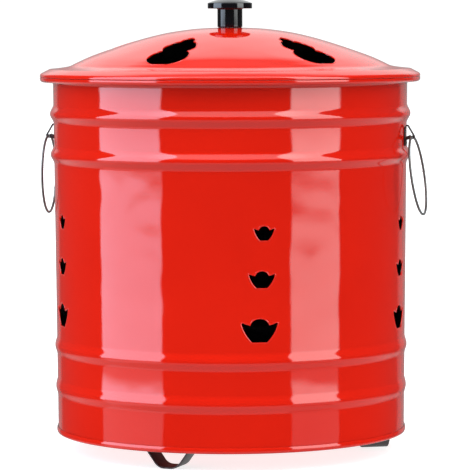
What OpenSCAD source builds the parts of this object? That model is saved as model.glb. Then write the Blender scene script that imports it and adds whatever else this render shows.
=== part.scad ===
// Vented garden bin: a tapered drum of enamelled sheet steel on three bent-strap feet,
// with a lift-off lid, a moulded knob, lotus-shaped air vents and two loose ring handles.
// Origin: on the ground, on the drum's axis. +Z is up and the front of the bin faces -Y.
// Angles round the drum are counted from the front, positive towards +X.

/* [Drum] */
// Outside radius of the wall just under the lip
drum_r = 202; // [165:0.5:280]
// How much smaller the wall's radius is at its lower edge
drum_taper = 3.5; // [0:0.1:12]
// Height of the wall from its lower edge to the start of the lip
wall_h = 396.6; // [310:0.1:600]
// Thickness of the enamelled sheet
sheet = 1; // [0.6:0.1:1.6]
// Radius of the wire inside the drum's and the lid's rolled edges
edge_wire_r = 1.3; // [0.8:0.1:2.5]
// How far the lip reaches out beyond the wall
lip_out = 14.8; // [10:0.1:30]
// Radius of the cove between wall and lip
lip_cove_r = 6; // [3:0.5:8]
// Rise of the lip's shelf, in degrees
lip_slope = 15; // [5:1:25]

/* [Beads] */
// Heights of the two lower beads above the wall's lower edge
low_bead_z = [53.3, 100]; // [30:0.1:120]
// Drops of the two upper beads below the top of the wall
high_bead_drop = [78.9, 32.8]; // [20:0.1:90]
// How far the lower beads stand out
low_bead_out = [2, 2.3]; // [0.5:0.1:4]
// How far the upper beads stand out
high_bead_out = [4, 4.2]; // [0.5:0.1:5]
// Half width of a bead along the wall
bead_half_w = 11; // [6:0.5:14]

/* [Vents] */
// Widths of a column's three wall vents, lowest first
vent_w = [39.9, 28.8, 22.4]; // [10:0.1:50]
// Heights of a column's three wall vents, lowest first
vent_h = [25.8, 18.4, 15.6]; // [8:0.1:40]
// Height of the lowest vent's bottom above the wall's lower edge
vent_bottom = 123; // [115:0.5:150]
// Turn of each vent round the drum from the one below it, in degrees
vent_drift = 0.7; // [0:0.1:2]
// Plain wall between one vent and the next
vent_gap = 33.3; // [10:0.1:45]
// Length of a lid vent, from its base to its centre petal's tip
lid_vent_l = 80; // [40:1:95]
// Width of a lid vent
lid_vent_w = 48; // [30:1:60]
// Distance of a lid vent's base from the outer edge of the brim
lid_vent_inset = 32.5; // [25:0.5:60]

/* [Lid] */
// Height of the crown's underside above the rim of the drum
crown_h = 54.5; // [30:0.5:90]
// Gap between the lid's rolled edge and the drum's rolled edge
lid_seat_gap = 0.3; // [0.2:0.05:0.6]
// Play of the lid's collar in the drum's mouth
collar_play = 1.5; // [0.8:0.1:3]
// How far the collar reaches down below the rim
collar_drop = 12; // [6:0.5:25]

/* [Knob] */
// Radius of the knob's head
knob_head_r = 25.4; // [15:0.1:35]
// Radius of the knob's stem
knob_stem_r = 14.3; // [10:0.1:18]
// Height of the knob's stem
knob_stem_h = 21; // [19:0.5:40]
// Height of the straight side of the knob's head
knob_side_h = 6.6; // [3:0.1:12]
// Rise of the knob's chamfered crown above its side
knob_crown_h = 4; // [1:0.1:8]
// Radius of the screw that holds the knob
screw_r = 3; // [2:0.1:4]

/* [Ring handles] */
// Radius of a ring handle at the centre of its wire
ring_r = 44.2; // [30:0.1:60]
// Radius of the ring's wire
ring_wire_r = 1.4; // [1:0.1:2.5]
// Drop of the ring's hinge line below the top of the wall
ring_drop = 58.6; // [50:0.1:65]
// Distance of the ring's hinge line from the wall
ring_off = 9; // [8:0.1:12]
// Angle of the left-hand ring
left_ring_angle = -97; // [-120:1:-60]
// Angle of the right-hand ring
right_ring_angle = 77; // [60:1:120]
// Outward lean of the right-hand ring, in degrees
right_lean = 8.5; // [0:0.5:20]
// Width of an ear's strap
ear_w = 8; // [5:0.5:14]
// Thickness of an ear's strap
ear_t = 1; // [0.6:0.1:1.5]

/* [Feet] */
// Ground clearance under the drum's lower edge
foot_drop = 21; // [14:0.5:40]
// Distance of a foot's centre inwards from the wall's lower edge
foot_inset = 35; // [34:0.5:60]
// Width of a foot's strap
foot_w = 30; // [15:1:32]
// Thickness of a foot's strap
foot_t = 1.5; // [1:0.1:3]
// Length of the flat sole
sole_l = 7.5; // [5:0.5:15]
// Outside radius of the bends beside the sole
sole_bend_r = 14; // [6:0.5:18]
// Slope of a foot's legs, in degrees
leg_slope = 54; // [45:1:75]
// Length of the flange that is riveted to the base
foot_flange_l = 15; // [14:0.5:18]
// Radius of a foot rivet's shank
foot_rivet_r = 2.5; // [1.5:0.1:3]

/* [Hidden] */
$fn = 96;

enamel_red = "#dc1f16";
knob_black = "#101012";
wire_grey = "#6d6a69";
strap_brown = "#3a2b2a";

// Clearance between pieces that are fitted together but don't move
fit = 0.05;
// Depth of a cut that goes right through the wall
cut_depth = 30;
// Heights of the bottoms of a column's vents
vent_z = [
    vent_bottom,
    vent_bottom + vent_h[0] + vent_gap,
    vent_bottom + vent_h[0] + vent_h[1] + 2 * vent_gap
];
// Angles of the lowest vents of the wall's columns, and how much higher a column sits
vent_angles = [-144, -72, 8.9, 71.5, 144];
vent_lift = [0, 3, -1.3, 0, 0];
// Angles of the lid's vents
lid_vent_angles = [-26.5, 37, 110, 183, 256];
// Angles of the three feet, and how far each is turned about its own middle
foot_angles = [-23.6, 90.4, 214];
foot_turns = [3, 12, 0];

// Base seam
seam_h = 7;
seam_bulge = 0.6;
floor_z = 4.2;
wall_end = sheet + fit;

// Rolled edges: the sheet turns round the wire
roll_in = edge_wire_r + fit;
roll_out = roll_in + sheet;
roll_sweep = 285;
lip_cove_end = 90 - lip_slope;
rim_r = drum_r + lip_out;
roll_r = rim_r - roll_out;
cove_top = [drum_r + lip_cove_r * (1 - cos(lip_cove_end)), wall_h + lip_cove_r * sin(lip_cove_end)];
lip_roll_start = 90 + lip_slope;
lip_run = roll_r + roll_in * cos(lip_roll_start) - cove_top[0];
roll_z = cove_top[1] + lip_run * tan(lip_slope) - roll_in * sin(lip_roll_start);
rim_z = roll_z + roll_out;

// Width of the lid collar's flange
collar_flange = 14;

// Lid outline, as shares of the brim's radius and the crown's height
brim_back = 8.45;
brim_r = roll_r - brim_back;
crown_line = [
    [0.199, 0.975], [0.333, 0.905], [0.444, 0.811], [0.555, 0.690], [0.665, 0.552],
    [0.777, 0.400], [0.845, 0.292], [0.888, 0.225], [0.944, 0.180], [1, 0.145]
];
lid_roll_z = rim_z + lid_seat_gap + roll_out;
lid_roll_start = 65;
knob_seat_r = knob_stem_r + 3;
crown_z = rim_z + crown_h;

// Knob stack
seal_t = 0.8;
washer_t = 1.5;
washer_r = 9;
screw_hole_r = screw_r + 0.3;
knob_z = crown_z + sheet + seal_t;
insert_r = screw_r + 1.8;
insert_l = 14;
// Plain brass above the insert's blind bore, and free bore above the screw's tip
insert_top_web = 1;
screw_tip_gap = 1;
screw_l = washer_t + sheet + seal_t + insert_l - insert_top_web - screw_tip_gap;
screw_head_r = 2 * screw_r;
screw_head_h = 1.2 * screw_r;

// Ears and rings
hinge_z = wall_h - ring_drop;
hinge_r = wall_r(hinge_z) + ring_off;
ear_bend_in = ring_wire_r + 0.45;
ear_apex_up = 13.8;
ear_apex_out = 4;
ear_flat_up = 9.6;
ear_tail_down = 10.2;
ear_rivet_r = 1.6;
ear_rivet_head_r = 2.6;
ear_rivet_head_h = 1.2;
ear_rivet_z = [hinge_z - 7.2, hinge_z + 5.8];

// Feet
foot_r = drum_r - drum_taper - foot_inset;
foot_top = foot_drop + floor_z;
leg_top_bend_r = 4;
foot_rivet_head_r = 2 * foot_rivet_r;
foot_rivet_head_h = 0.9 * foot_rivet_r;
foot_rivet_tail_h = 0.5 * foot_rivet_r;
foot_path = foot_outline();
foot_end_x = foot_path[len(foot_path) - 1][0];
foot_rivet_x = foot_end_x - foot_flange_l / 2;

// ---- Curves ----

// Points of an arc about c, from angle a0 to angle a1
function arc(c, r, a0, a1, n) = [for (i = [0:n]) let (a = a0 + (a1 - a0) * i / n) c + r * [cos(a), sin(a)]];

// Unit direction of a path at its point i
function heading(p, i) =
    let (d = p[min(i + 1, len(p) - 1)] - p[max(i - 1, 0)])
    d / norm(d);

// The path moved sideways to its left by d
function beside(p, d) = [for (i = [0:len(p) - 1]) let (h = heading(p, i)) p[i] + d * [-h[1], h[0]]];

function backwards(p) = [for (i = [len(p) - 1:-1:0]) p[i]];

// Outline of a sheet of thickness t that lies on the left of a path
function strip(p, t) = concat(p, backwards(beside(p, t)));

// A smooth curve through the points p, in n steps a span
function smooth(p, n) = concat(
    [for (i = [0:len(p) - 2], k = [0:n - 1])
        let (
            t = k / n,
            a = p[max(i - 1, 0)],
            b = p[i],
            c = p[i + 1],
            d = p[min(i + 2, len(p) - 1)]
        )
        b + 0.5 * t * (c - a) + 0.5 * t * t * (2 * a - 5 * b + 4 * c - d)
            + 0.5 * t * t * t * (3 * b - a - 3 * c + d)],
    [p[len(p) - 1]]
);

// Corners with a bulge: each is [x, y, bulge], where bulge is the sagitta of the edge
// that follows, as a share of that edge's length, positive to the right
function bulged(v, n) = concat(
    [for (i = [0:len(v) - 2], k = [0:n - 1])
        let (
            t = k / n,
            a = [v[i][0], v[i][1]],
            b = [v[i + 1][0], v[i + 1][1]],
            e = b - a
        )
        a + t * e + 4 * t * (1 - t) * v[i][2] * [e[1], -e[0]]],
    [[v[len(v) - 1][0], v[len(v) - 1][1]]]
);

// A closed outline from its right half, which runs from the bottom to the top middle
function mirrored(half) = concat(half, [for (i = [len(half) - 2:-1:0]) [-half[i][0], half[i][1]]]);

// Lotus of three petals, standing on its base
function small_lotus(w, h) = mirrored(bulged([
    [0.205 * w, 0, 0.07],
    [0.497 * w, 0.76 * h, 0.3],
    [0.455 * w, 0.82 * h, -0.03],
    [0.262 * w, 0.722 * h, 0.17],
    [0, h, 0]
], 4));

// Lotus of five petals, standing on its base
function large_lotus(w, h) = mirrored(bulged([
    [0.180 * w, 0, 0.23],
    [0.455 * w, 0.350 * h, 0.1],
    [0.318 * w, 0.462 * h, 0.17],
    [0.318 * w, 0.734 * h, 0.12],
    [0.163 * w, 0.835 * h, 0.15],
    [0, h, 0]
], 5));

// ---- Drum profile ----

// Radius of the plain tapered wall at height z
function wall_r(z) = drum_r - drum_taper * (1 - z / wall_h);

// Rounded bead of height out, at a distance d from its crest
function bead(d, out) = abs(d) < bead_half_w ? out * (1 + cos(180 * d / bead_half_w)) / 2 : 0;

bead_z = concat(low_bead_z, [for (d = high_bead_drop) wall_h - d]);
bead_out = concat(low_bead_out, high_bead_out);
bead_steps = 6;

function wall_line() = concat(
    [[wall_r(wall_end), wall_end]],
    [for (i = [0:len(bead_z) - 1], k = [-bead_steps:bead_steps])
        let (d = k * bead_half_w / bead_steps, z = bead_z[i] + d)
        [wall_r(z) + bead(d, bead_out[i]), z]]
);

function drum_line() = concat(
    wall_line(),
    arc([drum_r + lip_cove_r, wall_h], lip_cove_r, 180, 180 - lip_cove_end, 6),
    arc([roll_r, roll_z], roll_in, lip_roll_start, lip_roll_start - roll_sweep, 20)
);

// ---- Lid profile ----

function crown_points() = concat(
    [[knob_seat_r, crown_z]],
    [for (p = crown_line) [p[0] * brim_r, rim_z + p[1] * crown_h]]
);

crown_curve = smooth(crown_points(), 4);

function lid_line() = concat(
    [[screw_hole_r, crown_z]],
    crown_curve,
    arc([roll_r, lid_roll_z], roll_in, lid_roll_start, lid_roll_start - roll_sweep + 40, 18)
);

// ---- Placing ----

// Turn a piece that is built at the front to an angle round the drum
module around(angle) {
    rotate([0, 0, angle]) children();
}

// Everything on the drum is measured from the drum's lower edge
module on_drum() {
    translate([0, 0, foot_drop]) children();
}

// Stand an outline of (distance out, height) at the front, extruded across
module across(w) {
    rotate([90, 0, -90]) linear_extrude(height = w, center = true) children();
}

// Stand an outline of (sideways, height) at the front, extruded along the radius
module along(r, depth) {
    translate([0, -r, 0]) rotate([90, 0, 0]) linear_extrude(height = depth, center = true) children();
}

// Put a foot's piece, built about the foot's own middle, in the foot's place
module at_foot(i) {
    around(foot_angles[i]) translate([0, -foot_r, 0]) rotate([0, 0, foot_turns[i]]) children();
}

// Round bar along the radius, from r0 to r1, at height z
module radial_bar(r, r0, r1, z) {
    translate([0, -r0, z]) rotate([90, 0, 0]) cylinder(r = r, h = r1 - r0);
}

// ---- Drum ----

module wall_vents() {
    for (column = [0:len(vent_angles) - 1], i = [0:len(vent_w) - 1]) {
        around(vent_angles[column] + i * vent_drift)
            translate([0, 0, vent_z[i] + vent_lift[column]])
                along(wall_r(vent_z[i]), cut_depth) polygon(small_lotus(vent_w[i], vent_h[i]));
    }
}

module drum_shell() {
    color(enamel_red) on_drum() difference() {
        rotate_extrude() polygon(strip(drum_line(), sheet));
        wall_vents();
        for (a = [left_ring_angle, right_ring_angle], z = ear_rivet_z) {
            around(a) radial_bar(ear_rivet_r + fit, wall_r(z) - cut_depth / 2, wall_r(z) + cut_depth / 2, z);
        }
    }
}

module drum_rim_wire() {
    color(wire_grey) on_drum() translate([0, 0, roll_z])
        rotate_extrude() translate([roll_r, 0]) circle(r = edge_wire_r, $fn = 32);
}

// Bottom disc. Its edge is folded down inside the wall and up again outside it.
module base_pan() {
    in_r = wall_r(0) - sheet - fit;
    out_r = wall_r(0) + fit;
    color(enamel_red) on_drum() difference() {
        rotate_extrude() polygon([
            [0, floor_z], [in_r - 3 * sheet, floor_z], [in_r - 1.5 * sheet, floor_z - 0.6 * sheet],
            [in_r - sheet, floor_z - 1.6 * sheet], [in_r - sheet, 0.5 * sheet], [in_r - 0.5 * sheet, 0],
            [out_r + 0.6 * sheet, 0], [out_r + sheet, 0.4 * sheet],
            [out_r + sheet + seam_bulge, 0.35 * seam_h], [out_r + sheet + seam_bulge, 0.65 * seam_h],
            [out_r + sheet, 0.9 * seam_h], [out_r + 0.6 * sheet, seam_h],
            [out_r + fit, seam_h], [out_r, sheet], [in_r, sheet], [in_r, floor_z - 1.2 * sheet],
            [in_r - 0.8 * sheet, floor_z + 0.2 * sheet], [in_r - 2.6 * sheet, floor_z + sheet],
            [0, floor_z + sheet]
        ]);
        for (i = [0:2], x = [-foot_rivet_x, foot_rivet_x]) {
            at_foot(i) translate([x, 0, 0]) cylinder(r = foot_rivet_r + fit, h = 3 * floor_z);
        }
    }
}

// ---- Ears ----

// Outline of an ear, from its tail up along the wall, over the apex and round the wire
function ear_outline() =
    let (
        wire = [ring_off, hinge_z],
        bend = ear_bend_in + ear_t,
        back = 2 * ear_t + 0.2,
        tail = hinge_z - ear_tail_down,
        apex = [ear_apex_out, hinge_z + ear_apex_up],
        to_apex = apex - wire,
        start = atan2(to_apex[1], to_apex[0]) - acos(bend / norm(to_apex))
    )
    concat(
        [[0.1, tail], [0.1, hinge_z + ear_flat_up], apex + [-0.9, 0.1], apex + [-0.4, 0.4], apex],
        arc(wire, bend, start, -100, 10),
        [[back + 1.2, hinge_z - bend - 0.2], [back, hinge_z - bend - 1.6], [back, tail]]
    );

// Outline of the space inside an ear's loop
function ear_inside() =
    let (
        wire = [ring_off, hinge_z],
        wall_side = ear_t + 0.1,
        apex = [ear_apex_out - 0.3, hinge_z + ear_apex_up - 1.3],
        to_apex = apex - wire,
        start = atan2(to_apex[1], to_apex[0]) - acos(ear_bend_in / norm(to_apex))
    )
    concat(
        [[wall_side, hinge_z - 4.6], [wall_side, hinge_z + ear_flat_up - 0.4], apex],
        arc(wire, ear_bend_in, start, -95, 10),
        [[wall_side + 1.6, hinge_z - ear_bend_in - 0.4], [wall_side + 0.3, hinge_z - ear_bend_in - 1.6]]
    );

module ear(angle) {
    color(strap_brown) on_drum() around(angle) difference() {
        translate([0, -wall_r(hinge_z), 0]) across(ear_w) difference() {
            polygon(ear_outline());
            polygon(ear_inside());
        }
        for (z = ear_rivet_z) {
            radial_bar(ear_rivet_r + fit, wall_r(hinge_z) - sheet, wall_r(hinge_z) + 3.2 * ear_t, z);
        }
    }
}

// Two rivets: the upper one has its head inside the loop, the lower one clamps the tail
module ear_rivets(angle) {
    layers = [2 * ear_t + 0.25, ear_t + 0.15];
    color(wire_grey) on_drum() around(angle) for (i = [0, 1]) {
        z = ear_rivet_z[i];
        in_r = wall_r(z) - sheet - 0.1;
        out_r = wall_r(hinge_z) + layers[i];
        radial_bar(ear_rivet_r, in_r - 0.1, out_r + 0.1, z);
        translate([0, -out_r, z]) rotate([90, 0, 0])
            cylinder(r1 = ear_rivet_head_r, r2 = 0.6 * ear_rivet_head_r, h = ear_rivet_head_h);
        translate([0, -in_r, z]) rotate([-90, 0, 0])
            cylinder(r1 = ear_rivet_head_r, r2 = 0.7 * ear_rivet_head_r, h = ear_rivet_head_h);
    }
}

module ear_left() { ear(left_ring_angle); }
module ear_right() { ear(right_ring_angle); }
module ear_rivets_left() { ear_rivets(left_ring_angle); }
module ear_rivets_right() { ear_rivets(right_ring_angle); }

// ---- Ring handles ----

// Closed wire ring that hangs from its ear, leaning out at the bottom
module ring_handle(angle, lean) {
    color(wire_grey) on_drum() around(angle) translate([0, -hinge_r, hinge_z]) rotate([-lean, 0, 0])
        translate([0, 0, -ring_r]) rotate([90, 0, 0])
            rotate_extrude() translate([ring_r, 0]) circle(r = ring_wire_r, $fn = 32);
}

module ring_handle_left() { ring_handle(left_ring_angle, 0); }
module ring_handle_right() { ring_handle(right_ring_angle, right_lean); }

// ---- Feet ----

// Underside of half a foot, from the middle of the sole to the end of its flange
function foot_outline() =
    let (
        sole_bend = arc([sole_l / 2, sole_bend_r], sole_bend_r, -90, leg_slope - 90, 6),
        leg_foot = sole_bend[6],
        drop = leg_top_bend_r * (1 - cos(leg_slope)),
        leg_rise = foot_top - foot_t - leg_foot[1] - drop,
        leg_head = leg_foot + leg_rise * [1 / tan(leg_slope), 1],
        bend_c = leg_head + leg_top_bend_r * [sin(leg_slope), -cos(leg_slope)],
        top_bend = arc(bend_c, leg_top_bend_r, 90 + leg_slope, 90, 4)
    )
    concat([[0, 0]], sole_bend, top_bend, [top_bend[4] + [foot_flange_l, 0]]);

module foot(i) {
    half = [for (p = foot_path) if (p[0] > 0) p];
    whole = concat([for (p = backwards(half)) [-p[0], p[1]]], half);
    color(strap_brown) at_foot(i) difference() {
        along(0, foot_w) polygon(strip(whole, foot_t));
        for (x = [-foot_rivet_x, foot_rivet_x]) {
            translate([x, 0, foot_top - 4 * foot_t]) cylinder(r = foot_rivet_r + fit, h = 8 * foot_t);
        }
    }
}

// Two rivets with domed heads on the floor and flattened tails under the flanges
module foot_rivets(i) {
    color(wire_grey) at_foot(i) for (x = [-foot_rivet_x, foot_rivet_x]) {
        translate([x, 0, 0]) {
            translate([0, 0, foot_top - foot_t - 0.1]) cylinder(r = foot_rivet_r, h = foot_t + sheet + 0.2);
            translate([0, 0, foot_top + sheet + fit])
                cylinder(r1 = foot_rivet_head_r, r2 = 0.5 * foot_rivet_head_r, h = foot_rivet_head_h);
            translate([0, 0, foot_top - foot_t - fit - foot_rivet_tail_h])
                cylinder(r1 = 0.7 * foot_rivet_head_r, r2 = 0.9 * foot_rivet_head_r, h = foot_rivet_tail_h);
        }
    }
}

module foot_front() { foot(0); }
module foot_right() { foot(1); }
module foot_rear() { foot(2); }
module foot_rivets_front() { foot_rivets(0); }
module foot_rivets_right() { foot_rivets(1); }
module foot_rivets_rear() { foot_rivets(2); }

// ---- Lid ----

module lid_vents() {
    for (a = lid_vent_angles) {
        around(a)
            translate([0, -(brim_r - lid_vent_inset), rim_z])
                linear_extrude(height = crown_h + 10) polygon(large_lotus(lid_vent_w, lid_vent_l));
    }
}

module lid_shell() {
    color(enamel_red) on_drum() difference() {
        rotate_extrude() polygon(strip(lid_line(), sheet));
        lid_vents();
    }
}

module lid_rim_wire() {
    color(wire_grey) on_drum() translate([0, 0, lid_roll_z])
        rotate_extrude() translate([roll_r, 0]) circle(r = edge_wire_r, $fn = 32);
}

// Angle-section ring under the brim. Its web hangs inside the drum's mouth.
module lid_collar() {
    out_r = drum_r - sheet - collar_play;
    flange_in = out_r - collar_flange;
    between = [for (p = crown_curve) if (p[0] > flange_in && p[0] < out_r) p[0]];
    flange = [for (r = concat([flange_in], between, [out_r])) [r, lookup(r, crown_curve) - fit]];
    under = [for (p = backwards(flange)) if (p[0] < out_r - sheet) [p[0], p[1] - sheet]];
    color(enamel_red) on_drum() rotate_extrude() polygon(concat(
        flange,
        [[out_r, rim_z - collar_drop], [out_r - sheet, rim_z - collar_drop - 0.6]],
        [[out_r - sheet, lookup(out_r, crown_curve) - fit - sheet]],
        under
    ));
}

// ---- Knob ----

module knob() {
    side_z = knob_z + knob_stem_h;
    top_z = side_z + knob_side_h + knob_crown_h;
    edge = 0.8;
    color(knob_black) on_drum() difference() {
        rotate_extrude() polygon([
            [0, knob_z], [knob_stem_r - edge, knob_z], [knob_stem_r, knob_z + edge],
            [knob_stem_r, side_z - 1.2], [knob_stem_r + 0.4, side_z - 0.4], [knob_stem_r + 1.2, side_z],
            [knob_head_r - edge, side_z], [knob_head_r, side_z + edge],
            [knob_head_r, side_z + knob_side_h - edge], [knob_head_r - edge, side_z + knob_side_h],
            [0.68 * knob_head_r, top_z - 0.4 * knob_crown_h], [0.42 * knob_head_r, top_z - 0.2],
            [0.36 * knob_head_r, top_z], [0, top_z]
        ]);
        translate([0, 0, knob_z - 1]) cylinder(r = insert_r + fit, h = insert_l + 1 + fit);
    }
}

module knob_insert() {
    color("goldenrod") on_drum() difference() {
        translate([0, 0, knob_z]) cylinder(r = insert_r, h = insert_l);
        translate([0, 0, knob_z - 1]) cylinder(r = screw_r + fit, h = insert_l + 1 - insert_top_web);
    }
}

module knob_seal() {
    color("dimgray") on_drum() translate([0, 0, crown_z + sheet]) difference() {
        cylinder(r = knob_stem_r - 1, h = seal_t);
        translate([0, 0, -1]) cylinder(r = screw_hole_r, h = seal_t + 2);
    }
}

module knob_washer() {
    color("silver") on_drum() translate([0, 0, crown_z - washer_t]) difference() {
        cylinder(r = washer_r, h = washer_t);
        translate([0, 0, -1]) cylinder(r = screw_hole_r, h = washer_t + 2);
    }
}

// Pan-head screw with a cross recess, driven up from inside the lid
module knob_screw() {
    head_z = crown_z - washer_t;
    color("silver") on_drum() translate([0, 0, head_z]) difference() {
        union() {
            cylinder(r = screw_r, h = screw_l);
            rotate_extrude() polygon([
                [0, -screw_head_h], [0.5 * screw_head_r, -screw_head_h],
                [0.85 * screw_head_r, -0.75 * screw_head_h], [screw_head_r, -0.35 * screw_head_h],
                [screw_head_r, 0], [0, 0]
            ]);
        }
        for (a = [0, 90]) {
            rotate([0, 0, a]) translate([-0.6 * screw_head_r, -0.5, -screw_head_h - 1])
                cube([1.2 * screw_head_r, 1, 1 + 0.5 * screw_head_h]);
        }
    }
}

drum_shell();
drum_rim_wire();
base_pan();
ear_left();
ear_right();
ear_rivets_left();
ear_rivets_right();
foot_front();
foot_right();
foot_rear();
foot_rivets_front();
foot_rivets_right();
foot_rivets_rear();
ring_handle_left();
ring_handle_right();
lid_shell();
lid_rim_wire();
lid_collar();
knob();
knob_insert();
knob_seal();
knob_washer();
knob_screw();
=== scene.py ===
import math

import bmesh
import bpy
from mathutils import Matrix, Vector


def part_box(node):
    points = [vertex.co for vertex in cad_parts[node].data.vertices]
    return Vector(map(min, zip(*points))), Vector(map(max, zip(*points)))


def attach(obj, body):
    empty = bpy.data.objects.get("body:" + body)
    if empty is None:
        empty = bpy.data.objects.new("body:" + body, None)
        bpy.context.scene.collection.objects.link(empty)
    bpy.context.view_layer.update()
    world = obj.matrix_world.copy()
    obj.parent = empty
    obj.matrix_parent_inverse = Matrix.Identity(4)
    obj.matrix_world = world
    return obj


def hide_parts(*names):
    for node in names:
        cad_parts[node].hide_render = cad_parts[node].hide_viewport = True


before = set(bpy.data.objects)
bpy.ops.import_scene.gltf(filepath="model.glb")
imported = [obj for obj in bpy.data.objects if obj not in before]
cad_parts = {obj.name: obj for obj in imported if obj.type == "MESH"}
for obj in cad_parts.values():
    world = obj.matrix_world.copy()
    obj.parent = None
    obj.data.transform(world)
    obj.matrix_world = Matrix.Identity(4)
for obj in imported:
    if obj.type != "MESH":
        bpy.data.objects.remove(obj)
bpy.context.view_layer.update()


# ---- Drum shell ----
# One strip of sheet steel, rolled to a taper and welded at the back, with four rolled beads,
# fifteen punched lotus vents and a lip that is rolled round a wire. It is fired with red
# vitreous enamel outside and the near-black ground coat inside.
MM = 0.001
sheet = 1.0 * MM
edge_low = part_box("base_pan")[0].z
rim_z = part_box("drum_shell")[1].z
rim_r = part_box("drum_shell")[1].x
rim_wire_low, rim_wire_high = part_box("drum_rim_wire")
roll_in = (rim_wire_high.z - rim_wire_low.z) / 2 + 0.05 * MM
roll_out = roll_in + sheet
taper = 3.5 * MM
drum_r = rim_r - 14.8 * MM
cove_r = 6 * MM
lip_slope = 15
wall_top = rim_z - 8.9 * MM
bead_half = 11 * MM
beads = [
    (edge_low + 53.3 * MM, 2.0 * MM),
    (edge_low + 100.0 * MM, 2.3 * MM),
    (wall_top - 78.9 * MM, 4.0 * MM),
    (wall_top - 32.8 * MM, 4.2 * MM),
]
vent_columns = [(-144, 0), (-72, 3.0 * MM), (8.9, -1.3 * MM), (71.5, 0), (144, 0)]
vent_sizes = [(39.9 * MM, 25.8 * MM), (28.8 * MM, 18.4 * MM), (22.4 * MM, 15.6 * MM)]
vent_bottom = edge_low + 123 * MM
vent_gap = 33.3 * MM
vent_drift = 0.7


class Shade:
    """A shader socket that can be added to, multiplied and so on, as a number is."""

    def __init__(self, tree, socket=None):
        self.tree = tree
        self.socket = socket

    def node(self, kind, settings=None, inputs=None, output=0):
        made = self.tree.nodes.new("ShaderNode" + kind)
        for name, value in (settings or {}).items():
            setattr(made, name, value)
        for name, value in (inputs or {}).items():
            if isinstance(value, Shade):
                self.tree.links.new(value.socket, made.inputs[name])
            else:
                made.inputs[name].default_value = value
        return Shade(self.tree, made.outputs[output])

    def maths(self, operation, first, second=0.0, clamp=False):
        settings = {"operation": operation, "use_clamp": clamp}
        return self.node("Math", settings, {0: first, 1: second})

    def __add__(self, other):
        return self.maths("ADD", self, other)

    def __radd__(self, other):
        return self.maths("ADD", other, self)

    def __sub__(self, other):
        return self.maths("SUBTRACT", self, other)

    def __rsub__(self, other):
        return self.maths("SUBTRACT", other, self)

    def __mul__(self, other):
        return self.maths("MULTIPLY", self, other)

    def __rmul__(self, other):
        return self.maths("MULTIPLY", other, self)

    def __truediv__(self, other):
        return self.maths("DIVIDE", self, other)


def new_finish(name):
    """An empty material, and the Shade that adds nodes to it."""
    material = bpy.data.materials.new(name)
    material.use_nodes = True
    material.node_tree.nodes.clear()
    return material, Shade(material.node_tree)


def finish_with(shade, kind, inputs):
    """The surface shader and the material's output."""
    surface = shade.node(kind, {}, inputs)
    output = surface.tree.nodes.new("ShaderNodeOutputMaterial")
    surface.tree.links.new(surface.socket, output.inputs["Surface"])


def noise(shade, scale, detail=2.0):
    """Soft noise from 0 to 1 over the object, scale cells to the metre."""
    where = shade.node("TexCoord", {}, {}, "Object")
    return shade.node("TexNoise", {}, {"Vector": where, "Scale": scale, "Detail": detail})


def mix_colours(shade, share, first, second):
    """Colour between first (share 0) and second (share 1)."""
    return shade.node("MixRGB", {}, {"Fac": share, "Color1": first, "Color2": second})


def enamel(name, deep, bright, rough, wave):
    """Fired glass, with a slow ripple of height wave and a fine orange peel."""
    material, shade = new_finish(name)
    cloud = noise(shade, 9, 3)
    ripple = noise(shade, 20, 1)
    peel = noise(shade, 190)
    height = ripple * wave + peel * 0.000012
    finish_with(shade, "BsdfPrincipled", {
        "Base Color": mix_colours(shade, cloud, deep, bright),
        "Roughness": rough + 0.03 * cloud,
        "Normal": shade.node("Bump", {}, {"Height": height, "Distance": 1.0, "Strength": 1.0}),
        "IOR": 1.5,
    })
    return material


red_enamel = enamel("red_enamel", (0.50, 0.0066, 0.0010, 1), (0.58, 0.0094, 0.0015, 1), 0.035, 0.0006)
ground_coat = enamel("ground_coat", (0.006, 0.006, 0.007, 1), (0.013, 0.012, 0.013, 1), 0.22, 0.0001)


def wall_r(z):
    """Outside radius of the wall at height z, beads included."""
    share = (z - edge_low) / (wall_top - edge_low)
    swell = 0
    for crest, out in beads:
        away = abs(z - crest) / bead_half
        if away < 1:
            swell = out * (1 + math.cos(math.pi * away)) / 2
    return drum_r - taper * (1 - share) + swell


def arc(centre, radius, start, end, steps):
    """Points (r, z) on an arc, with its angles in degrees."""
    points = []
    for step in range(steps + 1):
        angle = math.radians(start + (end - start) * step / steps)
        points.append((centre[0] + radius * math.cos(angle), centre[1] + radius * math.sin(angle)))
    return points


def offset(points, distance):
    """The line of points moved sideways to its left."""
    moved = []
    for index, point in enumerate(points):
        before = Vector(points[max(index - 1, 0)])
        after = Vector(points[min(index + 1, len(points) - 1)])
        heading = (after - before).normalized()
        moved.append((point[0] - distance * heading.y, point[1] + distance * heading.x))
    return moved


def strip(line, thick):
    """Closed outline of a sheet that is centred on a line."""
    return offset(line, -thick / 2) + list(reversed(offset(line, thick / 2)))


def lathe(made, outline, steps, place=Matrix(), closed=True):
    """Adds a body of revolution from an outline of (r, z) points about the place's own Z."""
    corners = [made.verts.new(place @ Vector((r, 0, z))) for r, z in outline]
    edges = [made.edges.new(pair) for pair in zip(corners, corners[1:])]
    if closed:
        edges.append(made.edges.new((corners[-1], corners[0])))
    bmesh.ops.spin(
        made, geom=corners + edges, cent=place.to_translation(), axis=place.to_3x3() @ Vector((0, 0, 1)),
        angle=math.tau, steps=steps, use_merge=True, use_duplicate=False,
    )


def keep(name, made, *finishes):
    """A bmesh as an object of the scene, smooth except at its real edges."""
    bmesh.ops.remove_doubles(made, verts=made.verts, dist=0.000005)
    bmesh.ops.recalc_face_normals(made, faces=made.faces)
    mesh = bpy.data.meshes.new(name)
    made.to_mesh(mesh)
    made.free()
    return show(name, mesh, *finishes)


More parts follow.
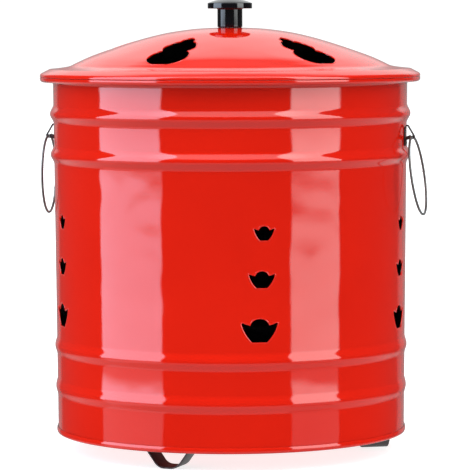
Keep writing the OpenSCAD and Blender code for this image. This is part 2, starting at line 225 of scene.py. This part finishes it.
def show(name, mesh, *finishes):
    """A mesh as an object of the scene, in its finishes."""
    piece = bpy.data.objects.new(name, mesh)
    bpy.context.scene.collection.objects.link(piece)
    for finish in finishes:
        mesh.materials.append(finish)
    smooth(mesh)
    return piece


def smooth(mesh):
    for face in mesh.polygons:
        face.use_smooth = True
    mesh.set_sharp_from_angle(angle=math.radians(35))


def bulged(corners, steps):
    """A closed outline through corners (x, y, bulge) of its right half."""
    half = []
    for first, second in zip(corners, corners[1:]):
        start = Vector(first[:2])
        edge = Vector(second[:2]) - start
        out = Vector((edge.y, -edge.x))
        for step in range(steps):
            share = step / steps
            half.append(start + share * edge + 4 * share * (1 - share) * first[2] * out)
    half.append(Vector(corners[-1][:2]))
    return [(p.x, p.y) for p in half] + [(-p.x, p.y) for p in reversed(half[:-1])]


def small_lotus(w, h):
    return bulged([
        (0.205 * w, 0, 0.07),
        (0.497 * w, 0.76 * h, 0.3),
        (0.455 * w, 0.82 * h, -0.03),
        (0.262 * w, 0.722 * h, 0.17),
        (0, h, 0),
    ], 8)


def around(angle):
    """Turn from the front of the drum to an angle round it, in degrees."""
    return Matrix.Rotation(math.radians(angle), 4, "Z")


def punch(made, outline, place, depth):
    """Adds a prism on a flat outline (x, y), which is put in place and goes depth deep along -z."""
    corners = [made.verts.new(place @ Vector((x, y, 0))) for x, y in outline]
    face = made.faces.new(corners)
    grown = bmesh.ops.extrude_face_region(made, geom=[face])
    moved = [part for part in grown["geom"] if isinstance(part, bmesh.types.BMVert)]
    push = place.to_3x3() @ Vector((0, 0, -depth))
    bmesh.ops.translate(made, verts=moved, vec=push)


def cut(piece, punches):
    """Cuts the punches out of a piece."""
    cutter = keep(piece.name + "_punches", punches)
    boolean = piece.modifiers.new("punched", "BOOLEAN")
    boolean.operation = "DIFFERENCE"
    boolean.solver = "EXACT"
    boolean.object = cutter
    bpy.context.view_layer.update()
    ready = piece.evaluated_get(bpy.context.evaluated_depsgraph_get())
    solid = bpy.data.meshes.new_from_object(ready)
    piece.modifiers.clear()
    piece.data = solid
    bpy.data.objects.remove(cutter)
    smooth(solid)


heights = [edge_low + sheet + 0.05 * MM]
for crest, _ in beads:
    heights += [crest + bead_half * step / 12 for step in range(-12, 13)]
wall_line = [(wall_r(z), z) for z in heights]
wall_line += arc((drum_r + cove_r, wall_top), cove_r, 180, 90 + lip_slope, 12)
roll_w = 3.4 * MM
roll_corner = 0.5 * MM
tuck_in = 0.3 * MM
tuck_out = tuck_in + sheet
roll_middle = (rim_r - roll_w, rim_z - 1.9 * MM)
roll_end = (rim_r - roll_w, rim_z - 4.0 * MM)
roll_inside = [(rim_r - 2.7 * MM, rim_z - 1.05 * MM), (rim_r - 1.2 * MM, rim_z - sheet)]
roll_inside += arc(roll_middle, roll_w - sheet, 0, -90, 10) + arc(roll_end, tuck_in, -90, -180, 3)
roll_outside = [(rim_r - 2.96 * MM, rim_z - 0.08 * MM), (rim_r - 2.2 * MM, rim_z)]
roll_outside += arc((rim_r - roll_corner, rim_z - roll_corner), roll_corner, 90, 0, 4)
roll_outside += arc(roll_middle, roll_w, 0, -90, 14) + arc(roll_end, tuck_out, -90, -180, 6)
wall_inside = list(reversed(offset(wall_line, sheet)))
made = bmesh.new()
lathe(made, wall_line + roll_inside + list(reversed(roll_outside)) + wall_inside, 240)
drum = keep("drum_skin", made)
wall_vents = []
for angle, lift in vent_columns:
    low = vent_bottom + lift
    for tier, (width, height) in enumerate(vent_sizes):
        wall_vents.append((angle + tier * vent_drift, low, small_lotus(width, height)))
        low += height + vent_gap
punches = bmesh.new()
upright = Matrix.Rotation(math.radians(90), 4, "X")
for angle, low, outline in wall_vents:
    place = around(angle) @ upright @ Matrix.Translation((0, low, drum_r + 20 * MM))
    punch(punches, outline, place, 40 * MM)
cut(drum, punches)
drum.data.materials.clear()
drum.data.materials.append(red_enamel)
drum.data.materials.append(ground_coat)
for face in drum.data.polygons:
    outward = Vector((face.center.x, face.center.y, 0)).normalized()
    inside = outward.dot(face.normal) < -0.2 and face.center.z < wall_top
    face.material_index = 1 if inside else 0
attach(drum, "drum")
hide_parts("drum_shell")


# ---- Vent edges and weld ----
# Enamel draws up into a rounded bead along the punched edge of each vent, and covers the low
# ridge of the wall's weld at the back.
def beading(name, loops, radius, closed):
    """Round beads along loops of points."""
    curve = bpy.data.curves.new(name, "CURVE")
    curve.dimensions = "3D"
    curve.bevel_depth = radius
    curve.bevel_resolution = 3
    curve.use_fill_caps = True
    for loop in loops:
        spline = curve.splines.new("POLY")
        spline.points.add(len(loop) - 1)
        for point, place in zip(spline.points, loop):
            point.co = (*place, 1)
        spline.use_cyclic_u = closed
    holder = bpy.data.objects.new(name, curve)
    bpy.context.scene.collection.objects.link(holder)
    bpy.context.view_layer.update()
    ready = holder.evaluated_get(bpy.context.evaluated_depsgraph_get())
    mesh = bpy.data.meshes.new_from_object(ready)
    bpy.data.objects.remove(holder)
    mesh.materials.clear()
    return show(name, mesh, red_enamel)


def grown(outline, distance):
    """A closed outline, counter-clockwise, moved out by a distance."""
    moved = []
    for index, point in enumerate(outline):
        before = Vector(outline[index - 1])
        after = Vector(outline[(index + 1) % len(outline)])
        heading = (after - before).normalized()
        moved.append((point[0] + distance * heading.y, point[1] - distance * heading.x))
    return moved


def on_wall(angle, x, z, depth):
    """The point that lies depth under the wall's surface, beside an angle round the drum."""
    r = wall_r(z) - depth
    return around(angle) @ Vector((x, -math.sqrt(r * r - x * x), z))


vent_bead_r = 0.8 * MM
vent_bead_depth = 0.45 * MM
loops = []
for angle, low, outline in wall_vents:
    edge = grown(outline, 0.65 * MM)
    loops.append([on_wall(angle, x, low + y, vent_bead_depth) for x, y in edge])
vent_edges = beading("vent_edges", loops, vent_bead_r, True)
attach(vent_edges, "drum")

weld_low = edge_low + 7.5 * MM
weld_steps = 160
heights = [weld_low + (wall_top - weld_low) * step / weld_steps for step in range(weld_steps + 1)]
weld = beading("wall_weld", [[on_wall(180, 0, z, 0.9 * MM) for z in heights]], 1.2 * MM, False)
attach(weld, "drum")


# ---- Rim wire ----
# Round steel wire inside the drum's rolled lip, which all but hides it. The CAD's own solid
# is shown as it is.
def metal(name, dark, light, rough, metallic, grain, depth):
    """Bare metal, mottled and finely pitted."""
    material, shade = new_finish(name)
    mottle = noise(shade, grain, 4)
    pits = noise(shade, grain * 9, 2)
    finish_with(shade, "BsdfPrincipled", {
        "Base Color": mix_colours(shade, mottle, dark, light),
        "Roughness": rough + 0.25 * mottle,
        "Metallic": metallic,
        "Normal": shade.node("Bump", {}, {"Height": pits * depth, "Distance": 1.0, "Strength": 1.0}),
    })
    return material


wire_steel = metal("wire_steel", (0.05, 0.048, 0.048, 1), (0.20, 0.195, 0.19, 1), 0.30, 0.85, 160, 0.00003)


def finish_node(name, finish):
    """Puts a finish on a CAD node that is shown as it is."""
    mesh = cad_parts[name].data
    mesh.materials.clear()
    mesh.materials.append(finish)
    smooth(mesh)


finish_node("drum_rim_wire", wire_steel)


# ---- Base pan ----
# Pressed disc. Its edge turns down inside the wall and folds up outside it as a flat seam,
# which the enamel rounds over.
def flowing(points, steps):
    """A smooth line through the points."""
    line = []
    for index in range(len(points) - 1):
        a = Vector(points[max(index - 1, 0)])
        b = Vector(points[index])
        c = Vector(points[index + 1])
        d = Vector(points[min(index + 2, len(points) - 1)])
        for step in range(steps):
            t = step / steps
            bend = 2 * b + t * (c - a) + t * t * (2 * a - 5 * b + 4 * c - d)
            line.append(tuple(0.5 * (bend + t ** 3 * (3 * b - a - 3 * c + d))))
    line.append(tuple(points[-1]))
    return line


pan_in = drum_r - taper - 1.05 * MM
pan_out = drum_r - taper + 0.05 * MM
pan_bend = flowing([
    (pan_in - 6 * MM, edge_low + 4.7 * MM),
    (pan_in - 3 * MM, edge_low + 4.65 * MM),
    (pan_in - 1.3 * MM, edge_low + 4.1 * MM),
    (pan_in - 0.6 * MM, edge_low + 2.7 * MM),
    (pan_in - 0.4 * MM, edge_low + 1.1 * MM),
    ((pan_in + pan_out) / 2, edge_low + 0.5 * MM),
    (pan_out + 0.6 * MM, edge_low + 1.0 * MM),
    (pan_out + 1.05 * MM, edge_low + 2.6 * MM),
    (pan_out + 1.05 * MM, edge_low + 4.6 * MM),
    (pan_out + 0.55 * MM, edge_low + 6.5 * MM),
], 5)
made = bmesh.new()
lathe(made, strip([(0, edge_low + 4.7 * MM)] + pan_bend, sheet), 240, closed=False)
pan = keep("base_skin", made, red_enamel, ground_coat)
for face in pan.data.polygons:
    face.material_index = 1 if face.normal.z > 0.3 and face.center.z > edge_low + 3.5 * MM else 0
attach(pan, "drum")
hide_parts("base_pan")


# ---- Feet ----
# Three straps of dark strip steel, each bent to a wide U on a narrow sole, with two flanges
# under the floor of the drum.
foot_angles = [-23.6, 90.4, 214]
foot_turns = [3, 12, 0]
foot_r = drum_r - taper - 35 * MM
foot_w = 30 * MM
foot_t = 1.5 * MM
sole_half = 3.75 * MM
sole_bend_r = 14 * MM
leg_slope = 54
leg_bend_r = 4 * MM
flange_l = 15 * MM
foot_top = edge_low + 4.2 * MM


def ribbon(made, outline, width, place, rounding):
    """Adds a bar of width across a closed outline (x, z), with its long edges rounded."""
    corners = [made.verts.new(place @ Vector((x, -width / 2, z))) for x, z in outline]
    face = made.faces.new(corners)
    grown_part = bmesh.ops.extrude_face_region(made, geom=[face])["geom"]
    moved = [part for part in grown_part if isinstance(part, bmesh.types.BMVert)]
    push = place.to_3x3() @ Vector((0, width, 0))
    bmesh.ops.translate(made, verts=moved, vec=push)
    far_face = [part for part in grown_part if isinstance(part, bmesh.types.BMFace)][0]
    rims = list(face.edges) + list(far_face.edges)
    bmesh.ops.bevel(
        made, geom=rims, offset=rounding, offset_type="OFFSET", segments=2, profile=0.5,
        affect="EDGES", material=-1, clamp_overlap=True,
    )


strap_steel = metal("strap_steel", (0.022, 0.014, 0.015, 1), (0.085, 0.060, 0.062, 1), 0.38, 0.5, 110, 0.00004)

slope = math.radians(leg_slope)
sole_bend = arc((sole_half, sole_bend_r), sole_bend_r, -90, leg_slope - 90, 12)
leg_rise = foot_top - foot_t - sole_bend[-1][1] - leg_bend_r * (1 - math.cos(slope))
leg_head = (sole_bend[-1][0] + leg_rise / math.tan(slope), sole_bend[-1][1] + leg_rise)
bend_middle = (leg_head[0] + leg_bend_r * math.sin(slope), leg_head[1] - leg_bend_r * math.cos(slope))
top_bend = arc(bend_middle, leg_bend_r, 90 + leg_slope, 90, 8)
flange_end = (top_bend[-1][0] + flange_l, top_bend[-1][1])
half = sole_bend + top_bend + [flange_end]
underside = [(-x, z) for x, z in reversed(half)] + half
foot_outline = underside + list(reversed(offset(underside, foot_t)))
rivet_x = flange_end[0] - flange_l / 2
foot_places = []
for name, angle, turn in zip(("front", "right", "rear"), foot_angles, foot_turns):
    place = around(angle) @ Matrix.Translation((0, -foot_r, 0)) @ around(turn)
    foot_places.append((name, place))
    made = bmesh.new()
    ribbon(made, foot_outline, foot_w, place, 0.3 * MM)
    foot = keep("strap_" + name, made, strap_steel)
    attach(foot, "drum")
    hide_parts("foot_" + name)


# ---- Foot rivets ----
# Two steel rivets to a foot, with domed heads on the floor inside and set tails under the
# flanges.
rivet_steel = metal("rivet_steel", (0.10, 0.09, 0.09, 1), (0.30, 0.29, 0.28, 1), 0.35, 0.85, 300, 0.00002)


def rivet(made, place, shank_r, shank_l, head_r, head_h):
    """Adds a domed head on the place's XY plane with its shank below."""
    dome = [(head_r * math.cos(t * math.pi / 16), head_h * math.sin(t * math.pi / 16)) for t in range(8)]
    lathe(made, [(0, -shank_l), (shank_r, -shank_l), (shank_r, 0)] + dome + [(0, head_h)], 32, place, False)


floor_top = foot_top + sheet + 0.05 * MM
under_flange = foot_top - foot_t - 0.05 * MM
flipped = Matrix.Rotation(math.pi, 4, "X")
for name, place in foot_places:
    made = bmesh.new()
    for x in (-rivet_x, rivet_x):
        head = place @ Matrix.Translation((x, 0, floor_top))
        tail = place @ Matrix.Translation((x, 0, under_flange)) @ flipped
        rivet(made, head, 2.4 * MM, 2 * MM, 5.0 * MM, 2.25 * MM)
        rivet(made, tail, 2.4 * MM, 1 * MM, 4.4 * MM, 1.25 * MM)
    rivets = keep("strap_rivets_" + name, made, rivet_steel)
    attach(rivets, "drum")
    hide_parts("foot_rivets_" + name)


# ---- Ears ----
# Two short straps, each folded round its ring's wire with both ends down the wall, and
# riveted through the drum.
ring_angles = {"left": -97, "right": 77}
hinge_z = wall_top - 58.6 * MM
hinge_out = 9 * MM
ear_w = 8 * MM
ear_t = 1 * MM
loop_r = 2.35 * MM
apex_out = 4 * MM
ear_middle = flowing([
    (0.6 * MM, hinge_z - 10.2 * MM),
    (0.6 * MM, hinge_z),
    (0.6 * MM, hinge_z + 7.6 * MM),
    (0.85 * MM, hinge_z + 9.4 * MM),
    (2.1 * MM, hinge_z + 11.6 * MM),
    (3.5 * MM, hinge_z + 13.2 * MM),
    (4.35 * MM, hinge_z + 12.6 * MM),
], 4)
ear_middle += arc((hinge_out, hinge_z), loop_r, 30, -100, 14)
ear_middle += flowing([
    (5.6 * MM, hinge_z - 2.5 * MM),
    (3.4 * MM, hinge_z - 2.7 * MM),
    (2.1 * MM, hinge_z - 3.6 * MM),
    (1.7 * MM, hinge_z - 5.6 * MM),
    (1.7 * MM, hinge_z - 10.2 * MM),
], 4)
ear_r = wall_r(hinge_z)
facing_out = around(-90)
tucked_end = [
    (2.2 * MM, hinge_z - 5.0 * MM),
    (3.6 * MM, hinge_z - 3.0 * MM),
    (6.9 * MM, hinge_z - 2.5 * MM),
    (7.4 * MM, hinge_z - 1.0 * MM),
    (7.5 * MM, hinge_z + 0.8 * MM),
    (6.6 * MM, hinge_z + 2.0 * MM),
    (2.6 * MM, hinge_z + 0.4 * MM),
    (2.2 * MM, hinge_z - 1.0 * MM),
]
for side, angle in ring_angles.items():
    made = bmesh.new()
    place = around(angle) @ Matrix.Translation((0, -ear_r, 0)) @ facing_out
    ribbon(made, strip(ear_middle, ear_t), ear_w, place, 0.12 * MM)
    ribbon(made, tucked_end, ear_w - 0.6 * MM, place, 0.12 * MM)
    ear = keep("strap_ear_" + side, made, strap_steel)
    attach(ear, "drum")
    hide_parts("ear_" + side)


# ---- Ear rivets ----
# Each ear has one rivet inside its loop and one through its tail, headed on both sides of the
# wall.
ear_rivets = [(hinge_z - 7.2 * MM, 2.25 * MM), (hinge_z + 5.8 * MM, 1.15 * MM)]
inwards = Matrix.Rotation(math.radians(-90), 4, "X")
for side, angle in ring_angles.items():
    made = bmesh.new()
    for z, layers in ear_rivets:
        outer = around(angle) @ Matrix.Translation((0, -ear_r - layers, z)) @ upright
        inner = around(angle) @ Matrix.Translation((0, -wall_r(z) + sheet + 0.1 * MM, z)) @ inwards
        rivet(made, outer, 1.6 * MM, 2 * MM, 2.6 * MM, 1.2 * MM)
        rivet(made, inner, 1.6 * MM, 1 * MM, 2.6 * MM, 1.2 * MM)
    rivets = keep("ear_studs_" + side, made, rivet_steel)
    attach(rivets, "drum")
    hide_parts("ear_rivets_" + side)


# ---- Ring handles ----
# Loose rings of round steel wire, closed with a small weld and swinging in their ears. The
# right-hand ring rests a little off the wall.
ring_r = 44.2 * MM
ring_wire_r = 1.4 * MM
ring_leans = {"left": 0, "right": -8.5}
weld_places = {"left": 205, "right": 3}
for side, angle in ring_angles.items():
    made = bmesh.new()
    hinge = Matrix.Translation((0, -ear_r - hinge_out, hinge_z))
    lean = Matrix.Rotation(math.radians(ring_leans[side]), 4, "X")
    middle = around(angle) @ hinge @ lean @ Matrix.Translation((0, 0, -ring_r)) @ upright
    wire = arc((ring_r, 0), ring_wire_r, 0, 337.5, 15)
    lathe(made, wire, 160, middle)
    joint = middle @ around(weld_places[side]) @ Matrix.Translation((ring_r, 0, 0))
    weld_shape = Matrix.Diagonal((1.75 * MM, 2.4 * MM, 1.75 * MM, 1))
    bmesh.ops.create_uvsphere(made, u_segments=16, v_segments=10, radius=1, matrix=joint @ weld_shape)
    ring = keep("ring_" + side + "_wire", made, wire_steel)
    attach(ring, "ring_" + side)
    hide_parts("ring_handle_" + side)


# ---- Lid shell ----
# Pressed lid: a low bell with a near-flat brim, rolled round a wire at its edge and punched
# with five large lotus vents. It is enamelled like the drum.
crown_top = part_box("lid_shell")[1].z
crown_z = crown_top - sheet
crown_h = crown_z - rim_z
brim_r = rim_r - roll_out - 8.45 * MM
lid_gap = 0.3 * MM
crown_shares = [
    (0.199, 0.975), (0.333, 0.905), (0.444, 0.811), (0.555, 0.690), (0.665, 0.552),
    (0.777, 0.400), (0.845, 0.285), (0.888, 0.210), (0.944, 0.172), (1, 0.150),
]
crown = flowing([(17.3 * MM, crown_z)] + [(r * brim_r, rim_z + z * crown_h) for r, z in crown_shares], 8)
lid_seat = rim_z + lid_gap
roll_middle = (rim_r - roll_w, lid_seat + tuck_out)
roll_inside = arc(roll_middle, roll_w - sheet, 68, 0, 8)
roll_inside += [(rim_r - 1.2 * MM, lid_seat + sheet), (rim_r - roll_w, lid_seat + sheet)]
roll_inside += arc(roll_middle, tuck_in, -90, -180, 3)
roll_outside = arc(roll_middle, roll_w, 68, 0, 10)
roll_outside += arc((rim_r - roll_corner, lid_seat + roll_corner), roll_corner, 0, -90, 4)
roll_outside += arc(roll_middle, tuck_out, -90, -180, 6)
lid_line = [(3.3 * MM, crown_z)] + crown
lid_top = list(reversed(offset(lid_line, sheet)))
made = bmesh.new()
lathe(made, lid_line + roll_inside + list(reversed(roll_outside)) + lid_top, 240)
lid = keep("lid_skin", made)


def large_lotus(w, h):
    return bulged([
        (0.180 * w, 0, 0.23),
        (0.455 * w, 0.350 * h, 0.1),
        (0.318 * w, 0.462 * h, 0.17),
        (0.318 * w, 0.734 * h, 0.12),
        (0.163 * w, 0.835 * h, 0.15),
        (0, h, 0),
    ], 8)


lid_vent = large_lotus(48 * MM, 80 * MM)
lid_vent_r = brim_r - 32.5 * MM
lid_vent_angles = [-26.5, 37, 110, 183, 256]
punches = bmesh.new()
for angle in lid_vent_angles:
    place = around(angle) @ Matrix.Translation((0, -lid_vent_r, crown_top + 20 * MM))
    punch(punches, lid_vent, place, 80 * MM)
cut(lid, punches)
lid.data.materials.clear()
lid.data.materials.append(red_enamel)
lid.data.materials.append(ground_coat)
for face in lid.data.polygons:
    r = math.hypot(face.center.x, face.center.y)
    face.material_index = 1 if face.normal.z < -0.3 and r < brim_r else 0
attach(lid, "lid")
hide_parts("lid_shell")


# ---- Lid vent edges ----
# The enamel's bead along the punched edge of each of the lid's vents, as on the wall. It
# follows the slope of the lid.
def lid_under(r):
    """Height of the lid's underside at a radius."""
    for (r0, z0), (r1, z1) in zip(crown, crown[1:]):
        if r0 <= r <= r1:
            return z0 + (z1 - z0) * (r - r0) / (r1 - r0)
    return crown[-1][1]


loops = []
for angle in lid_vent_angles:
    loop = []
    for x, y in grown(lid_vent, 0.65 * MM):
        r = math.hypot(x, y - lid_vent_r)
        loop.append(around(angle) @ Vector((x, y - lid_vent_r, lid_under(r) + sheet - 0.35 * MM)))
    loops.append(loop)
lid_edges = beading("lid_vent_edges", loops, vent_bead_r, True)
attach(lid_edges, "lid")


# ---- Lid rim wire ----
# Round steel wire inside the lid's rolled edge, in the same steel as the drum's. The CAD's
# own solid is shown as it is.
finish_node("lid_rim_wire", wire_steel)


# ---- Lid collar ----
# Angle-section hoop under the brim, welded to the lid. Its web hangs inside the drum's mouth
# and keeps the lid central.
collar_r = drum_r - sheet - 1.5 * MM
collar_top = lid_under(collar_r) - 0.55 * MM
collar_bottom = rim_z - 12 * MM
flange_rs = [collar_r - 13.5 * MM + step * 1.4 * MM for step in range(8)]
collar_middle = [(r, lid_under(r) - 0.56 * MM) for r in flange_rs]
collar_middle += flowing([
    (collar_r - 2.2 * MM, lid_under(collar_r - 2.2 * MM) - 0.6 * MM),
    (collar_r - 0.9 * MM, collar_top - 0.35 * MM),
    (collar_r - 0.5 * MM, collar_top - 1.5 * MM),
    (collar_r - 0.5 * MM, collar_bottom - 0.3 * MM),
], 5)
made = bmesh.new()
lathe(made, strip(collar_middle, sheet), 240)
collar = keep("lid_hoop", made, ground_coat)
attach(collar, "lid")
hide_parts("lid_collar")


# ---- Knob ----
# Moulded in gloss black: a plain stem under a wide flat head with a chamfered crown. A bore
# from below holds the brass insert.
def plain(name, dark, light, rough, metallic, grain):
    """A smooth material, faintly mottled."""
    material, shade = new_finish(name)
    mottle = noise(shade, grain, 3)
    finish_with(shade, "BsdfPrincipled", {
        "Base Color": mix_colours(shade, mottle, dark, light),
        "Roughness": rough + 0.06 * mottle,
        "Metallic": metallic,
    })
    return material


knob_black = plain("knob_black", (0.0012, 0.0010, 0.0022, 1), (0.0026, 0.0022, 0.0040, 1), 0.07, 0.0, 60)
seal_t = 0.8 * MM
knob_z = crown_top + seal_t
stem_r = 14.3 * MM
head_r = 25.4 * MM
head_z = knob_z + 21 * MM
side_top = head_z + 6.6 * MM
knob_top = side_top + 4 * MM
bore_r = 4.85 * MM
bore_top = knob_z + 14.05 * MM
edge = 0.8 * MM
knob_outline = [(0, bore_top), (bore_r, bore_top), (bore_r, knob_z)]
knob_outline += arc((stem_r - edge, knob_z + edge), edge, -90, 0, 5)
knob_outline += arc((stem_r + 1.2 * MM, head_z - 1.2 * MM), 1.2 * MM, 180, 90, 6)
knob_outline += arc((head_r - edge, head_z + edge), edge, -90, 0, 6)
knob_outline += arc((head_r - edge, side_top - edge), edge, 0, 60, 4)
knob_outline += flowing([
    (0.90 * head_r, side_top + 0.6 * MM),
    (0.68 * head_r, knob_top - 1.5 * MM),
    (0.50 * head_r, knob_top - 0.45 * MM),
    (0.36 * head_r, knob_top - 0.08 * MM),
    (0.18 * head_r, knob_top),
    (0, knob_top),
], 6)
made = bmesh.new()
lathe(made, knob_outline, 96, closed=False)
knob = keep("knob_head", made, knob_black)
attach(knob, "lid")
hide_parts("knob")


# ---- Knob fixing ----
# A brass insert in the knob's bore, a fibre seal under the knob, and a zinc-plated washer
# and cross-recess screw from inside the lid.
brass = metal("insert_brass", (0.40, 0.24, 0.07, 1), (0.62, 0.42, 0.15, 1), 0.25, 1.0, 200, 0.00001)
fibre = plain("seal_fibre", (0.035, 0.030, 0.028, 1), (0.060, 0.052, 0.048, 1), 0.75, 0.0, 900)
zinc = metal("screw_zinc", (0.36, 0.36, 0.37, 1), (0.58, 0.58, 0.57, 1), 0.22, 1.0, 240, 0.00001)
screw_r = 3 * MM
hole_r = 3.3 * MM
washer_t = 1.5 * MM


def hoop(name, inner, outer, low, high, rounding, finish, node):
    """A flat ring with rounded outer edges, shown for a CAD node on the lid."""
    outline = [(inner, high), (inner, low)]
    outline += arc((outer - rounding, low + rounding), rounding, -90, 0, 3)
    outline += arc((outer - rounding, high - rounding), rounding, 0, 90, 3)
    made = bmesh.new()
    lathe(made, outline, 64)
    piece = keep(name, made, finish)
    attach(piece, "lid")
    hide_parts(node)
    return piece


insert = hoop(
    "insert_sleeve", screw_r + 0.05 * MM, 4.8 * MM, knob_z, knob_z + 14 * MM, 0.3 * MM,
    brass, "knob_insert",
)
seal = hoop(
    "seal_disc", hole_r, stem_r - 1 * MM, crown_top, knob_z, 0.2 * MM,
    fibre, "knob_seal",
)
washer = hoop(
    "washer_disc", hole_r, 9 * MM, crown_z - washer_t, crown_z, 0.3 * MM,
    zinc, "knob_washer",
)

screw_seat = crown_z - washer_t
screw_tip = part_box("knob_screw")[1].z
screw_line = [(0, screw_seat - 3.6 * MM)]
screw_line += flowing([
    (2.0 * MM, screw_seat - 3.55 * MM),
    (4.2 * MM, screw_seat - 3.05 * MM),
    (5.5 * MM, screw_seat - 2.0 * MM),
    (6.0 * MM, screw_seat - 0.6 * MM),
    (5.9 * MM, screw_seat),
], 4)
tip_edge = 0.6 * MM
screw_line += [
    (screw_r, screw_seat),
    (screw_r, screw_tip - tip_edge),
    (screw_r - tip_edge, screw_tip),
    (0, screw_tip),
]
made = bmesh.new()
lathe(made, screw_line, 48, closed=False)
screw = keep("screw_body", made, zinc)
slot_half = 0.5 * MM
slot_end = 3.4 * MM
arm = [(slot_half, slot_half), (slot_end, slot_half), (slot_end, -slot_half)]
slots = arm + [(y, -x) for x, y in arm] + [(-x, -y) for x, y in arm] + [(-y, x) for x, y in arm]
cross = bmesh.new()
punch(cross, slots, Matrix.Translation((0, 0, screw_seat - 1.8 * MM)), 4 * MM)
cut(screw, cross)
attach(screw, "lid")
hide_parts("knob_screw")


# ---- Studio ----
# A pale floor in a white room. Two tall soft boxes stand to the left and right of the front,
# a lit backdrop stands behind, and soft light comes from overhead and up from the ground.
floor_mesh = bmesh.new()
bmesh.ops.create_grid(floor_mesh, x_segments=1, y_segments=1, size=12)
floor_paint, shade = new_finish("floor_paint")
finish_with(shade, "BsdfPrincipled", {
    "Base Color": (0.4, 0.4, 0.4, 1), "Roughness": 0.9,
    "Emission Color": (1, 1, 1, 1), "Emission Strength": 0.8,
})
floor = keep("floor", floor_mesh, floor_paint)
floor.visible_glossy = False
floor.visible_diffuse = False

room_mesh = bmesh.new()
bmesh.ops.create_uvsphere(room_mesh, u_segments=48, v_segments=24, radius=30)
room_paint, shade = new_finish("room_paint")
finish_with(shade, "Emission", {"Color": (1, 1, 1, 1), "Strength": 1.1})
room = keep("room", room_mesh, room_paint)
room.visible_diffuse = False
room.visible_glossy = False
room.visible_transmission = False
room.visible_shadow = False

world = bpy.data.worlds.new("studio")
bpy.context.scene.world = world
world.use_nodes = True
sky = Shade(world.node_tree)
heading = sky.node("TexCoord", {}, {}, "Generated")
across = sky.node("SeparateXYZ", {}, {"Vector": heading}, "X")
deep = sky.node("SeparateXYZ", {}, {"Vector": heading}, "Y")
up = sky.node("SeparateXYZ", {}, {"Vector": heading}, "Z")
azimuth = sky.maths("ARCTAN2", across, 0 - deep) * (180 / math.pi)
height = sky.maths("ARCSINE", up) * (180 / math.pi)


def between(value, low, high, soft):
    """1 from low to high, falling softly to 0 outside."""
    rising = sky.maths("ADD", (value - low) / soft, 0.5, True)
    falling = sky.maths("ADD", (high - value) / soft, 0.5, True)
    return rising * falling


box_height = between(height, -7.7, 62, 1.5) + 0.25 * between(height, -30, -7.7, 1.5)
left_box = between(azimuth, -93.5, -45.5, 1.5) * box_height
right_box = between(azimuth, 39.5, 74.5, 1.5) * box_height
left_light = left_box * sky.maths("MINIMUM", 5.8 + 0.15 * height, 5.8)
right_light = right_box * sky.maths("MINIMUM", 5.6 + 0.26 * height, 5.6)
behind = between(azimuth, 144, 200, 6) + between(azimuth, -200, -153, 6)
backdrop = behind * (between(height, 9, 42, 8) + 0.35 * between(height, -24, 9, 8)) * (0.75 + 0.012 * height)
front_top = between(azimuth, -60, 60, 20) * between(height, 40, 74, 6) + between(height, 66, 100, 5)
ceiling = between(height, 45, 100, 10)
ground = between(height, -100, -17, 8)
strength = 0.11 + left_light + right_light + backdrop + front_top * 2.0 + ceiling * 0.3 + ground * 0.8
tint = mix_colours(sky, left_box, (0.96, 1, 1, 1), (0.80, 0.94, 1.14, 1))
background = world.node_tree.nodes["Background"]
world.node_tree.links.new(tint.socket, background.inputs["Color"])
world.node_tree.links.new(strength.socket, background.inputs["Strength"])
bpy.context.scene.view_settings.view_transform = "Standard"


# ---- Camera ----
# A long lens, at about the height of the knob and tilted slightly down on the drum's front.
# It is turned and rolled by a fraction of a degree.
camera = bpy.data.objects.new("camera", bpy.data.cameras.new("camera"))
bpy.context.scene.collection.objects.link(camera)
camera.data.sensor_width = 36
camera.data.lens = 227.8
camera_place = Matrix.Translation((-0.0079, -3.4, 0.5001))
camera_turn = Matrix.Rotation(math.radians(-0.218), 4, "Z")
camera_tilt = Matrix.Rotation(math.radians(90 - 4.292), 4, "X")
camera_roll = Matrix.Rotation(math.radians(-0.178), 4, "Z")
camera.matrix_world = camera_place @ camera_turn @ camera_tilt @ camera_roll
bpy.context.scene.camera = camera
